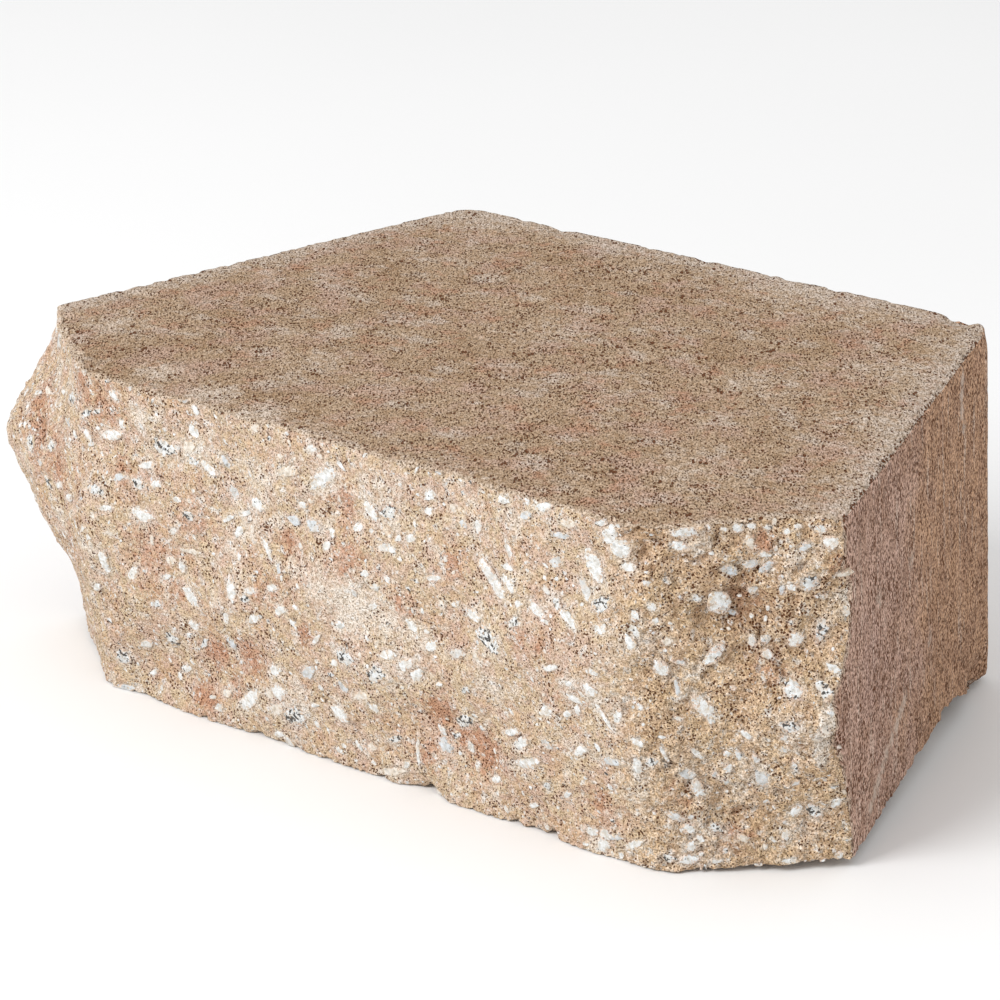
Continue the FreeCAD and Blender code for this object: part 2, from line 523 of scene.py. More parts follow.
class Skin:
    """The shell's points with relief, hollows and worn edges, and masks for the materials."""

    def __init__(self, shell, packed, view):
        self.start = np.array(shell.points)
        self.points = self.start.copy()
        self.faces = np.array(shell.faces)
        self.zones = np.array(shell.zones)
        moulded, broken = Rim(shell.points, shell.moulded_rim), Rim(shell.points, shell.break_rim)
        self.masks = {name: self.marks(view.spots(packed, rows)) for name, rows in MARKS.items()}
        self.masks["powder"] = np.zeros(len(self.start))
        self.masks["torn"] = np.clip((self.start[:, 0] - TORN_FROM) / TORN_OVER, 0, 1)
        self.masks["edge"] = np.maximum(0, 1 - moulded.away / RIM_DUST)
        self.masks["arris"] = np.maximum(0, 1 - broken.away / ARRIS_BAND)
        for i in np.flatnonzero(moulded.away < EDGE_BAND):
            self.points[i] = packed.tree.find_nearest(Vector(self.points[i]))[0]
        normals = point_normals(self.points, self.faces, len(self.points))
        zone_normals = {zone: self.zone_normals(zone) for zone in RELIEF}
        self.wear(broken, ARRIS_BAND, arris_wear, normals)
        self.wear(moulded, EDGE_BAND, edge_wear, normals)
        self.roughen(zone_normals)
        self.masks["cavity"] = np.clip(self.cavity() / CAVITY_DEPTH, 0, 1)
        self.hollow_out(view.spots(packed, HOLLOWS), normals)

    def zone_normals(self, zone):
        return point_normals(self.points, self.faces[self.zones == zone], len(self.points))

    def cavity(self):
        """How far each point lies below its smoothed surroundings, in mm."""
        count = len(self.points)
        sides = ((0, 1), (1, 2), (2, 0), (1, 0), (2, 1), (0, 2))
        ends = np.vstack([self.faces[:, side] for side in sides])
        neighbours = np.bincount(ends[:, 0], minlength=count)[:, None]
        smooth = self.points
        for _ in range(CAVITY_REACH):
            totals = [np.bincount(ends[:, 0], smooth[ends[:, 1], axis], count) for axis in range(3)]
            smooth = np.array(totals).T / neighbours
        return ((smooth - self.points) * point_normals(self.points, self.faces, count)).sum(axis=1)

    def marks(self, spots):
        """A mask of some marks, each strongest at its middle."""
        mask = np.zeros(len(self.start))
        for place, reach, strength in spots:
            mask = np.maximum(mask, strength * nearness(self.start, place, reach * PIXEL))
        return mask

    def wear(self, rim, band, depth_at, normals):
        """Wears the points in a band beside a rim inwards, deepest at the rim itself."""
        for i in np.flatnonzero(rim.away < band):
            place, number, distance = rim.tree.find(Vector(self.start[i]))
            depth = depth_at(place)
            fade = max(0, 1 - distance / (WEAR_REACH + WEAR_SPREAD * depth)) ** WEAR_FALL
            self.points[i] -= normals[number] * depth * fade

    def roughen(self, outward):
        """Moves the points by their zone's relief; a shared point takes its first zone's."""
        done = np.zeros(len(self.start), bool)
        for zone, relief in RELIEF.items():
            numbers = np.unique(self.faces[self.zones == zone])
            for i in numbers[~done[numbers]]:
                self.points[i] += outward[zone][i] * relief(Vector(self.start[i]))
            done[numbers] = True

    def hollow_out(self, spots, normals):
        """Presses in torn hollows and chips, each deepest at its middle."""
        for place, reach, depth in spots:
            fall = nearness(self.start, place, reach)
            self.points -= normals * (depth * fall * fall * (3 - 2 * fall))[:, None]


def inside_cad(points):
    """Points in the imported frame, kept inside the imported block's box."""
    matrix = np.array(TO_ROW)
    placed = points @ matrix[:3, :3].T + matrix[:3, 3]
    return np.clip(placed, np.array(cad_box[0]), np.array(cad_box[1]))


def link(name, data):
    obj = bpy.data.objects.new(name, data)
    bpy.context.scene.collection.objects.link(obj)
    return obj


def new_object(name, points, faces, materials, slots=None):
    mesh = bpy.data.meshes.new(name)
    mesh.from_pydata([tuple(p) for p in points], [], faces)
    for material in materials:
        mesh.materials.append(material)
    if slots is not None:
        mesh.polygons.foreach_set("material_index", slots)
    return link(name, mesh)


# Aggregate: broken stones that show in the split front

# stones that stand out, in the photograph's pixels: across, down, length, width, slant in degrees
SEEN_STONES = {
    "pale": table(5, """
    114 396 13 7 -40  148 465 15 8 10  256 503 17 8 -60  106 508 14 6 0  142 515 24 12 -25
    247 513 10 7 0  228 519 11 7 30  173 531 8 8 0  80 529 7 7 0  240 532 13 9 60  103 561 28 8 -68
    134 572 15 9 65  182 567 14 6 -65  167 577 9 6 0  230 591 32 8 -85  190 595 27 8 -58  97 587 12 7 0
    249 591 10 7 0  254 619 12 9 0  87 434 14 6 -65  113 435 20 10 0  60 485 10 7 0  70 497 12 9 0
    208 468 20 8 -40  156 484 9 8 0  147 644 12 8 0  275 671 12 12 0  250 700 25 14 60  213 697 7 5 0
    219 708 9 8 0  279 734 9 8 0  316 640 12 5 55  335 663 7 7 0  315 705 9 5 0  280 611 9 9 0
    272 588 10 7 0  226 618 12 6 -80  311 449 11 8 0  323 479 34 14 40  303 505 11 7 -45
    332 533 12 6 -80  371 512 24 8 -60  430 495 12 10 0  398 538 7 6 0  411 538 9 8 0  477 527 15 6 -75
    388 549 20 8 -20  433 578 17 6 0  374 588 9 8 0  456 604 8 7 0  266 548 28 5 -70  339 625 10 7 0
    430 646 13 11 0  387 655 14 9 0  405 665 15 11 30  417 675 12 12 0  439 684 7 6 0  341 715 22 10 -45
    520 744 14 11 0  524 764 23 11 0  511 732 13 7 0  496 779 8 7 0  546 711 13 11 0  549 669 14 6 0
    407 765 8 8 0  417 750 30 4 -88  533 806 9 6 0  503 500 12 8 -20  543 507 16 10 10  610 533 16 12 80
    621 548 22 14 -45  630 567 14 10 -20  508 547 18 5 -75  508 567 12 6 -30  509 584 22 7 -60
    492 577 50 10 -59  472 614 18 7 -45  513 622 14 7 60  536 609 24 8 -52  519 604 8 7 0
    568 620 22 8 -50  545 622 10 4 -30  597 568 34 12 -72  589 557 14 8 -30  600 629 12 9 0
    635 616 11 9 90  636 634 16 7 -50  629 643 16 9 -60  661 671 18 12 -45  568 683 10 8 -40
    573 698 16 6 -30  577 709 12 6 -80  567 714 8 7 0  617 717 14 9 85  603 716 34 4 -58
    580 751 13 11 40  636 744 14 7 -35  568 794 8 6 20  637 768 20 9 -65  665 756 16 4 -60
    697 754 18 6 -40  697 789 18 13 -70  728 768 10 8 60  727 753 8 6 0  796 810 12 9 40
    834 803 12 8 20  786 836 12 8 80  772 839 9 5 -30  689 829 14 10 0  690 847 12 9 10  664 839 6 5 0
    632 846 22 8 20  602 846 16 10 -60  591 832 12 8 -40  604 835 14 8 -30  688 861 20 9 0
    790 860 20 5 0  840 855 10 7 20  685 533 25 9 0  679 547 16 10 0  724 530 8 5 0  738 530 12 8 0
    752 528 8 6 0  787 532 8 7 0  798 527 8 5 0  821 529 12 8 0  832 542 15 12 0  764 555 12 6 0
    792 587 9 7 0  768 655 12 10 -30  834 668 14 8 -30  703 708 32 13 -45  711 721 9 7 0
    846 611 10 7 -70  716 862 12 5 0  155 672 9 6 20  64 392 8 6 0  36 392 9 6 30  176 500 8 6 -30"""),
    "flecked": table(5, """
    72 398 17 13 0  86 413 11 7 50  98 411 8 7 0  165 447 28 15 -25  193 461 14 7 -20  50 446 12 11 0
    138 484 14 10 -45  94 489 22 11 -30  188 516 14 8 -45  244 600 10 7 0  156 604 11 7 0
    172 638 18 10 -45  190 635 9 7 0  124 657 18 12 -45  204 643 11 6 70  187 669 10 9 0
    295 716 22 20 0  388 513 15 14 0  487 642 32 14 -55  346 659 24 12 -45  376 675 18 18 0
    466 690 8 7 0  466 720 16 11 0  395 739 14 8 0  456 735 8 8 0  515 622 12 8 0  556 604 14 7 -70
    547 785 9 8 0  603 603 18 14 20  600 523 10 6 0  652 763 12 9 0  739 755 14 6 -70  790 728 20 11 -15
    795 768 12 6 -80  814 809 16 11 -45  716 829 18 8 -15  725 851 10 6 0  845 838 7 5 0  769 529 9 6 0
    809 583 18 12 30  822 630 22 12 80  792 622 10 7 0  792 688 22 18 -50  824 688 22 13 -60
    834 786 8 6 0"""),
    "grey": table(5, """
    91 444 8 5 0  119 477 13 7 20  234 490 16 8 -50  231 643 15 7 -55  278 569 11 5 -80  126 688 22 7 0
    309 672 13 12 0  294 521 13 8 -35  314 526 15 10 -40  456 654 17 9 0  527 515 10 8 20
    560 536 18 6 -10  554 563 10 10 0  586 589 24 8 -70  612 762 20 7 -15  716 776 7 7 0
    611 838 18 6 -10  752 565 14 8 25  767 567 14 8 30  752 591 10 8 50  782 588 12 5 90
    753 643 13 8 -70  766 641 9 8 0  682 664 12 5 0  678 691 20 5 -75  646 583 9 6 0  804 549 12 7 30"""),
    "cream": table(5, """
    188 447 14 14 0  192 552 20 6 -15  275 710 14 12 0  287 472 18 12 0  360 697 16 9 0  390 772 22 10 0
    568 524 14 8 -20"""),
    "proud": table(5, """
    719 602 20 18 -60  796 639 16 12 30  713 656 23 12 50"""),
}

# look of each kind of stone: tone from white over blue-grey to warm, share of black flecks
STONE_LOOK = {"pale": (0.0, 0.0), "flecked": (0.25, 1.0), "grey": (0.6, 0.15), "cream": (1.0, 0.0),
              "proud": (0.1, 0.0)}
LOOSE_KINDS = ["pale", "pale", "pale", "flecked", "grey", "cream"]
PROUD = 1.1  # how far a proud stone stands out, in mm
MOST_STRETCH = 1.7  # of a stone seen on a slant, against its seen size

# stones and grit strewn at random: how many, and their lengths and widths, a width mostly as a
# share of the length
LOOSE_COUNT = 400
LOOSE_LEAST = 1.8
LOOSE_MEAN = 1.1  # above the least
LOOSE_MOST = 6.0
LOOSE_WIDTH = (0.4, 0.85)
GRIT_COUNT = 1050
GRIT_LENGTH = (0.8, 1.9)
GRIT_WIDTH = (0.5, 0.95)
RIM_GRIT_COUNT = 70  # along the upper arris
RIM_GRIT_LENGTH = (1.0, 3.0)
RIM_GRIT_WIDTH = (0.8, 1.6)  # in mm
RIM_GRIT_BAND = 2.5
FOOT_CLEAR = 0.4  # between the beds and the middle of a loose stone
TOP_CLEAR = 0.3
ROOM = 0.8  # that a stone keeps clear round it, in its half lengths
BREAK_HALF = 157.0  # how far across the break reaches, shoulders and all
LEFT_BEVEL = -108.0  # where its left bevel begins
LEFT_SHARE = 0.14  # share strewn on that bevel alone, which the photograph shows on a slant
BEDDED = 2.2  # length from which a stone lies in a bed of its own
OVERSIZE = 1.14  # of a stone against what shows of it, as sand covers its rim
POWDER_REACH = 1.9  # how far out its pale powder lies, in outlines of the stone
AROUND = 1.4  # how far round a stone the concrete counts, in its half lengths
AROUND_MORE = 1.6  # and in mm beyond them
BED_CLEAR = 0.15  # how far a stone at the rim stays inside the moulded beds
STAND = 0.3  # how far most stones may stand out
SUNK = 0.4  # of the concrete over a stone, below the stone's top
CROWN = 0.14  # of a stone's middle over its rim
THICKEST = 2.5
RAGGED = (0.82, 1.18)  # how unevenly a stone's rim runs
SIDES = (6, 7, 8, 9)
PROUD_SIDES = 10
STONE_SLANT = -38  # degrees from level that most long stones lie at
STONE_SCATTER = 38

Stone = namedtuple("Stone", "middle long short out kind")


def seen_stones(view, packed):
    """The stones that stand out in the photograph, where it shows them."""
    stones = []
    for kind, places in SEEN_STONES.items():
        for across, down, length, width, slant in places:
            middle, out, sight = view.seen(packed, across, down)
            if middle is None:
                continue
            axes = []
            for size, turn in ((length, math.radians(slant)), (width, math.radians(slant + 90))):
                flat = view.direction(math.cos(turn), math.sin(turn), 0)
                axis = flat - sight * (flat.dot(out) / sight.dot(out))
                axes.append(axis * min(1, MOST_STRETCH / axis.length) * size * PIXEL / 2)
            stones.append(Stone(middle, *axes, out, kind))
    return stones


def loose_size(number, rng):
    """Length and width of a stone strewn at random, or of grit once the stones are used up."""
    if number < LOOSE_COUNT:
        length = min(LOOSE_LEAST + rng.expovariate(1 / LOOSE_MEAN), LOOSE_MOST)
        return length, length * rng.uniform(*LOOSE_WIDTH)
    length = rng.uniform(*GRIT_LENGTH)
    return length, length * rng.uniform(*GRIT_WIDTH)


def loose_stones(seen, packed, rng):
    """Smaller stones and grit strewn over the rest of the break, larger ones first."""
    sizes = sorted((loose_size(n, rng) for n in range(LOOSE_COUNT + GRIT_COUNT)), reverse=True)
    sizes += [(rng.uniform(*RIM_GRIT_LENGTH), rng.uniform(*RIM_GRIT_WIDTH))
              for _ in range(RIM_GRIT_COUNT)]
    taken = np.array([(*s.middle, s.long.length) for s in seen])
    stones = []
    for number, (length, width) in enumerate(sizes):
        rightmost = LEFT_BEVEL if rng.random() < LEFT_SHARE else BREAK_HALF
        x, z = rng.uniform(-BREAK_HALF, rightmost), rng.uniform(FOOT_CLEAR, HEIGHT - TOP_CLEAR)
        if number >= LOOSE_COUNT + GRIT_COUNT:
            z = HEIGHT - abs(rng.gauss(0, RIM_GRIT_BAND))
        middle, out = packed.face(x, z)
        if middle is None:
            continue
        away = np.linalg.norm(taken[:, :3] - np.array(middle), axis=1)
        if (away < taken[:, 3] * ROOM + length / 2).any():
            continue
        taken = np.vstack([taken, (*middle, length / 2)])
        across = Vector((1, 0, 0)) - out * out.x
        across.normalize()
        slant = math.radians(rng.gauss(STONE_SLANT, STONE_SCATTER))
        long_way = across * math.cos(slant) + out.cross(across) * math.sin(slant)
        stones.append(Stone(middle, long_way * length / 2, out.cross(long_way) * width / 2, out,
                            rng.choice(LOOSE_KINDS)))
    return stones


def in_stone(stone, offsets):
    """How far out in the stone's outline some offsets from its middle lie: 1 is its rim."""
    axes = np.array([stone.long, stone.short]).T
    share = np.linalg.lstsq(axes, offsets.T, rcond=None)[0]
    return np.hypot(share[0], share[1])


def bed_stone(stone, skin, tree, rng):
    """The height of the stone's flat top; the concrete over the stone is taken down below it."""
    points = skin.points
    reach = max(stone.long.length, stone.short.length)
    around = reach * AROUND + AROUND_MORE
    numbers = np.array([n for place, n, d in tree.find_range(stone.middle, around)])
    if len(numbers) == 0:
        return 0.0
    offsets = points[numbers] - np.array(stone.middle)
    heights = offsets @ np.array(stone.out)
    stand = PROUD if stone.kind == "proud" else rng.uniform(0.0, STAND)
    top = float(np.mean(heights)) + stand * min(1, reach / 2)
    outlines = in_stone(stone, offsets)
    powder = np.clip((POWDER_REACH - outlines) / (POWDER_REACH - 1), 0, 1) * min(1, reach / 2)
    skin.masks["powder"][numbers] = np.maximum(skin.masks["powder"][numbers], powder)
    if 2 * reach > BEDDED:
        over = (outlines < 0.95) & (heights > top - SUNK)
        points[numbers[over]] -= np.outer(heights[over] - top + SUNK, stone.out)
    return top


def stone_corners(stone, top, rng):
    """Corners of one broken stone, nearly flat on top, each with its nearness to the rim."""
    corners = [(stone.middle + stone.out * (top + CROWN), 0.0)]
    count = PROUD_SIDES if stone.kind == "proud" else rng.choice(SIDES)
    depth = min(2 * stone.short.length, THICKEST)
    tip = stone.long * rng.uniform(-0.15, 0.15)
    for k in range(count):
        turn = 2 * math.pi * (k + rng.uniform(-0.35, 0.35)) / count
        radius = rng.uniform(*RAGGED)
        rim = (stone.long * math.cos(turn) + stone.short * math.sin(turn)) * radius * OVERSIZE + tip
        rings = ((0.55, 0.10, 0.2), (0.92, rng.uniform(-0.10, 0.04), 0.9),
                 (1.0, rng.uniform(-0.45, -0.25), 1.0), (0.6, -depth, 1.0))
        for share, height, near in rings:  # share of the outline, height over the top, nearness
            corners.append((stone.middle + rim * share + stone.out * (top + height), near))
    for place, near in corners:
        place.z = min(max(place.z, BED_CLEAR), HEIGHT - BED_CLEAR)
    return corners


def build_stones(skin, view, packed, rng):
    """All stones as one mesh, let into the roughened break."""
    on_break = np.unique(skin.faces[skin.zones == "break"])
    tree = tree_of(skin.points[on_break], on_break)
    bm = bmesh.new()
    masks = [bm.verts.layers.float.new(name) for name in ("tone", "flecks", "bare", "rim")]
    seen = seen_stones(view, packed)
    for stone in seen + loose_stones(seen, packed, rng):
        top = bed_stone(stone, skin, tree, rng)
        tone, flecks = STONE_LOOK[stone.kind]
        values = (min(1, tone + rng.uniform(0, 0.2)), flecks, min(1, stone.long.length / 2))
        corners = []
        for place, near in stone_corners(stone, top, rng):
            corners.append(bm.verts.new(place))
            for mask, value in zip(masks, (*values, near)):
                corners[-1][mask] = value
        hull = bmesh.ops.convex_hull(bm, input=corners)
        spare = [v for v in hull["geom_interior"] if isinstance(v, bmesh.types.BMVert)]
        bmesh.ops.delete(bm, geom=spare, context="VERTS")
    bmesh.ops.recalc_face_normals(bm, faces=bm.faces)
    mesh = bpy.data.meshes.new("aggregate")
    bm.to_mesh(mesh)
    bm.free()
    placed = inside_cad(np.array([v.co for v in mesh.vertices]))
    mesh.vertices.foreach_set("co", placed.ravel())
    return link("aggregate", mesh)


# Materials, worked out from the place in the level block's frame, in mm

class Look:
    """A node material, its colour painted on step by step, with short calls for its nodes."""

    def __init__(self, name, roughness, specular):
        self.material = bpy.data.materials.new(name)
        self.material.use_nodes = True
        self.tree = self.material.node_tree
        self.tree.nodes.clear()
        self.shader = self.node("BsdfPrincipled")
        self.shader.inputs["Roughness"].default_value = roughness
        self.shader.inputs["Specular IOR Level"].default_value = specular
        output = self.node("OutputMaterial")
        self.tree.links.new(self.shader.outputs["BSDF"], output.inputs["Surface"])
        place = self.node("TexCoord").outputs["Object"]
        turn = TO_BLOCK.to_3x3().normalized().to_euler()
        mapping = self.node("Mapping", Vector=place, Scale=(1 / MM,) * 3, Rotation=turn,
                            Location=TO_BLOCK.translation)
        self.place = mapping.outputs["Vector"]

    def node(self, kind, settings=None, **inputs):
        made = self.tree.nodes.new("ShaderNode" + kind)
        for name, value in (settings or {}).items():
            setattr(made, name, value)
        for name, value in inputs.items():
            self.feed(made.inputs[name], value)
        return made

    def feed(self, socket, value):
        if isinstance(value, bpy.types.NodeSocket):
            self.tree.links.new(value, socket)
        else:
            socket.default_value = value

    def scaled(self, size, shift, stretch, turn):
        """The place in steps of size mm, stretched along axes turned about z by some degrees."""
        mapping = self.node("Mapping", {"vector_type": "TEXTURE"}, Vector=self.place,
                            Location=(shift * size, shift * size, -shift * size),
                            Rotation=(0, 0, math.radians(turn)),
                            Scale=tuple(size * s for s in stretch))
        return mapping.outputs["Vector"]

    def clouds(self, size, detail=3.0, rough=0.55, shift=0.0, stretch=(1, 1, 1), turn=0):
        """Noise with patches about size mm across, 0 to 1 and mostly near 0.5."""
        place = self.scaled(size, shift, stretch, turn)
        made = self.node("TexNoise", Vector=place, Scale=1.0, Detail=detail, Roughness=rough)
        return made.outputs["Fac"]

    def dots(self, size, shift=0.0, stretch=(1, 1, 1), turn=0):
        """Distance to the nearest of points strewn about size mm apart, in steps of size."""
        place = self.scaled(size, shift, stretch, turn)
        return self.node("TexVoronoi", Vector=place, Scale=1.0).outputs["Distance"]

    def along(self, axis):
        """The place along one axis of the block, in mm."""
        return self.node("SeparateXYZ", Vector=self.place).outputs[axis]

    def mask(self, name):
        """A mask that the mesh carries."""
        return self.node("Attribute", {"attribute_name": name}).outputs["Fac"]

    def between(self, value, low, high):
        """0 at low, 1 at high and a ramp between; low may be the larger."""
        made = self.node("MapRange", Value=value)
        made.inputs["From Min"].default_value = low
        made.inputs["From Max"].default_value = high
        return made.outputs["Result"]

    def math(self, operation, a, b=0.0):
        made = self.node("Math", {"operation": operation})
        self.feed(made.inputs[0], a)
        self.feed(made.inputs[1], b)
        return made.outputs["Value"]

    def times(self, *values):
        return reduce(lambda a, b: self.math("MULTIPLY", a, b), values)

    def plus(self, *terms):
        """The sum of some values; a pair stands for its product."""
        values = [self.times(*term) if isinstance(term, tuple) else term for term in terms]
        return reduce(lambda a, b: self.math("ADD", a, b), values)

    def mix(self, factor, a, b, blend="MIX"):
        made = self.node("Mix", {"data_type": "RGBA", "blend_type": blend})
        self.feed(made.inputs[0], factor)
        self.feed(made.inputs[6], a)
        self.feed(made.inputs[7], b)
        return made.outputs[2]

    def tint(self, other, mask, strength):
        """Adds so much of another colour where the mask is 1."""
        self.colour = self.mix(self.times(mask, strength), self.colour, other)

    def ramp(self, value, stops):
        made = self.node("ValToRGB", Fac=value)
        elements = made.color_ramp.elements
        while len(elements) < len(stops):
            elements.new(1.0)
        for element, (position, colour) in zip(elements, stops):
            element.position = position
            element.color = colour
        return made.outputs["Color"]

    def shade(self, value, dark, light, spread=0.2):
        """Multiplies the colour by dark where the noise is low and by light where it is high."""
        tone = self.ramp(value, [(0.5 - spread, (dark, dark * 0.94, dark * 0.86, 1)), (0.5, grey(1.0)),
                                 (0.5 + spread, (light, light * 1.03, light * 1.07, 1))])
        self.colour = self.mix(1.0, self.colour, tone, "MULTIPLY")

    def over(self, other, strength, low, high, *cloud, **more):
        """Adds patches of another colour where noise runs from low to high."""
        self.tint(other, self.between(self.clouds(*cloud, **more), low, high), strength)

    def patch(self, mark, other, strength, size, shift):
        """Adds ragged patches of another colour where the mesh is marked."""
        ragged = self.plus(self.mask(mark), (self.clouds(size, 4, 0.7, shift), 2.4))
        self.tint(other, self.between(ragged, 1.40, 2.05), strength)

    def finish(self, *reliefs):
        """The material with its colour and fine relief: heights of 0 to 1, each with mm of depth."""
        self.feed(self.shader.inputs["Base Color"], self.colour)
        socket = self.shader.inputs["Normal"]
        for height, depth in reversed(reliefs):
            made = self.node("Bump", Height=height, Distance=depth * MM)
            self.feed(socket, made.outputs["Normal"])
            socket = made.inputs["Normal"]
        return self.material


def grey(value):
    return (value, value, value, 1)


TAN = (0.595, 0.455, 0.305, 1)
ORANGE = (0.565, 0.385, 0.245, 1)
OCHRE = (0.655, 0.452, 0.264, 1)
PINK = (0.590, 0.420, 0.345, 1)
CREAM = (0.720, 0.630, 0.535, 1)
RUST = (0.475, 0.245, 0.150, 1)
PORE = (0.105, 0.032, 0.008, 1)
# painted shade: brown that darkens the break's small hollows, its pitted hollows and a band under the
# upper arris
HOLLOW_SHADE_BROWN = (0.380, 0.225, 0.130, 1)
WHITE = (0.690, 0.670, 0.635, 1)
CREST_DARK_BAND = 7.0  # how far down from the upper arris the break is painted darker, in mm


def broken_concrete(look, marked=True):
    """Paints the broken matrix; returns the heights and depths of its fine relief."""
    look.colour = look.ramp(look.clouds(12, 4), [(0.38, ORANGE), (0.50, TAN), (0.66, TAN)])
    for size, shift in ((9, 40), (2.8, 140)):
        look.over(PINK, 0.5, 0.48, 0.60, size, 3, shift=shift)
    look.over(CREAM, 0.7, 0.54, 0.66, 7, 4, shift=80)
    if marked:
        torn = look.mask("torn")
        look.tint(OCHRE, torn, 0.6)
        look.patch("rust", RUST, 0.85, 2.2, 120)
        look.patch("cream", CREAM, 0.9, 2.2, 150)
        look.patch("powder", WHITE, 0.28, 0.9, 170)
    look.over(WHITE, 0.66, 0.56, 0.65, 2.4, 4, 0.65, shift=70)
    grain = look.clouds(0.5, 2, 0.6)
    grit = look.clouds(1.4, 3, 0.6, shift=25)
    look.shade(grain, 0.56, 1.26, 0.13)
    look.shade(grit, 0.80, 1.10)
    if marked:
        even = look.colour
        look.shade(look.clouds(1.1, 4, 0.7, shift=48), 0.50, 1.28, 0.15)
        look.colour = look.mix(look.times(torn, 0.9), even, look.colour)
    # painted highlights: small pale specks that stand for glints on the sand grains
    look.over(WHITE, 0.8, 0.64, 0.69, 1.0, 2, 0.6, shift=33)
    crowd = look.plus((look.clouds(6, 3, shift=60), 0.8), (grain, 0.5), -0.65)
    if marked:
        pits_and_shade = look.mask("pits_and_shade")
        crowd = look.plus(crowd, (pits_and_shade, -0.08), (look.mask("cream"), 0.10), (torn, -0.015))
        # painted shade: darker brown in the small hollows (cavity mask) and the pitted hollows, and
        # darker towards the upper arris
        crest = look.between(look.along("Z"), HEIGHT - CREST_DARK_BAND, HEIGHT)
        painted_shade = look.plus(look.mask("cavity"), (look.clouds(1.2, 3, shift=18), 0.8), pits_and_shade,
                         (crest, 0.7))
        look.tint(HOLLOW_SHADE_BROWN, look.between(painted_shade, 1.0, 2.4), 0.6)
    pore = look.between(look.plus(look.dots(0.95, 15), crowd), 0.25, 0.18)
    look.tint(PORE, pore, 0.93)
    rough = look.times(grit, look.plus((torn, 0.3), 1.0)) if marked else grit
    return (rough, 1.1), (grain, 0.4), (pore, -0.5)


def break_material():
    look = Look("split_concrete", 0.92, 0.12)
    return look.finish(*broken_concrete(look))


STONE_WHITE = (0.710, 0.710, 0.690, 1)
STONE_PALE = (0.660, 0.665, 0.650, 1)
STONE_BLUE = (0.540, 0.560, 0.570, 1)
STONE_WARM = (0.680, 0.620, 0.540, 1)
STONE_DUST = (0.600, 0.520, 0.430, 1)
STONE_VEIN = (0.470, 0.495, 0.505, 1)
FLECK = (0.032, 0.027, 0.023, 1)
SHADED_BEVELS = (100, 115)  # across the face, where its bevels begin, in mm; stones there are covered more, painted shade that greys them


def stone_material():
    look = Look("aggregate_stone", 0.7, 0.35)
    broken_concrete(look, marked=False)
    matrix = look.colour
    look.colour = look.ramp(look.mask("tone"), [(0.0, STONE_WHITE), (0.3, STONE_PALE),
                                                (0.65, STONE_BLUE), (1.0, STONE_WARM)])
    mottle = look.clouds(1.5, 4, 0.65, shift=3)
    look.shade(mottle, 0.72, 1.15, 0.14)
    look.over(STONE_VEIN, 0.65, 0.55, 0.63, 1.3, 4, 0.7, shift=51)
    look.over(STONE_DUST, 0.55, 0.52, 0.66, 2.6, 3, 0.6, shift=66)
    gathered = look.between(look.clouds(3.2, 2, shift=38), 0.42, 0.60)
    amount = look.times(look.mask("flecks"), look.plus(gathered, 0.6), 0.135)
    fleck = look.between(look.math("SUBTRACT", look.clouds(1.1, 2, 0.6, shift=27), amount), 0.31, 0.28)
    look.tint(FLECK, fleck, 0.95)
    bevels = look.between(look.math("ABSOLUTE", look.along("X")), *SHADED_BEVELS)
    # sand covers a stone's rim; on the bevels more of it is covered, painted shade that greys the stones
    sand_and_shade = look.plus((look.mask("rim"), 0.19), (look.mask("bare"), -0.10), (bevels, 0.035))
    cover = look.between(look.plus(look.clouds(1.2, 4, 0.7, shift=91), sand_and_shade), 0.52, 0.57)
    look.tint(matrix, cover, 0.85)
    return look.finish((mottle, 0.6))


# grain of the struck bed: its stretch, and the way it was struck, in degrees from the y axis
STRUCK = (1, 2.3, 1)
STRUCK_TURN = 40

BED_BROWN = (0.335, 0.224, 0.138, 1)
BED_TAUPE = (0.378, 0.266, 0.175, 1)
BED_PINK = (0.400, 0.266, 0.199, 1)
BED_RUST = (0.370, 0.205, 0.130, 1)
BED_GREY = (0.470, 0.385, 0.315, 1)
BED_DUST = (0.520, 0.425, 0.345, 1)
ARRIS_TAN = (0.520, 0.410, 0.310, 1)


def arris_mask(look, low, high):
    """Where the break's rim has crumbled onto a moulded face."""
    uneven = look.plus(look.clouds(1.7, 3, 0.6, shift=44), look.clouds(7, 3, 0.6, shift=14), -0.2)
    return look.between(look.plus(look.mask("arris"), uneven), low, high)


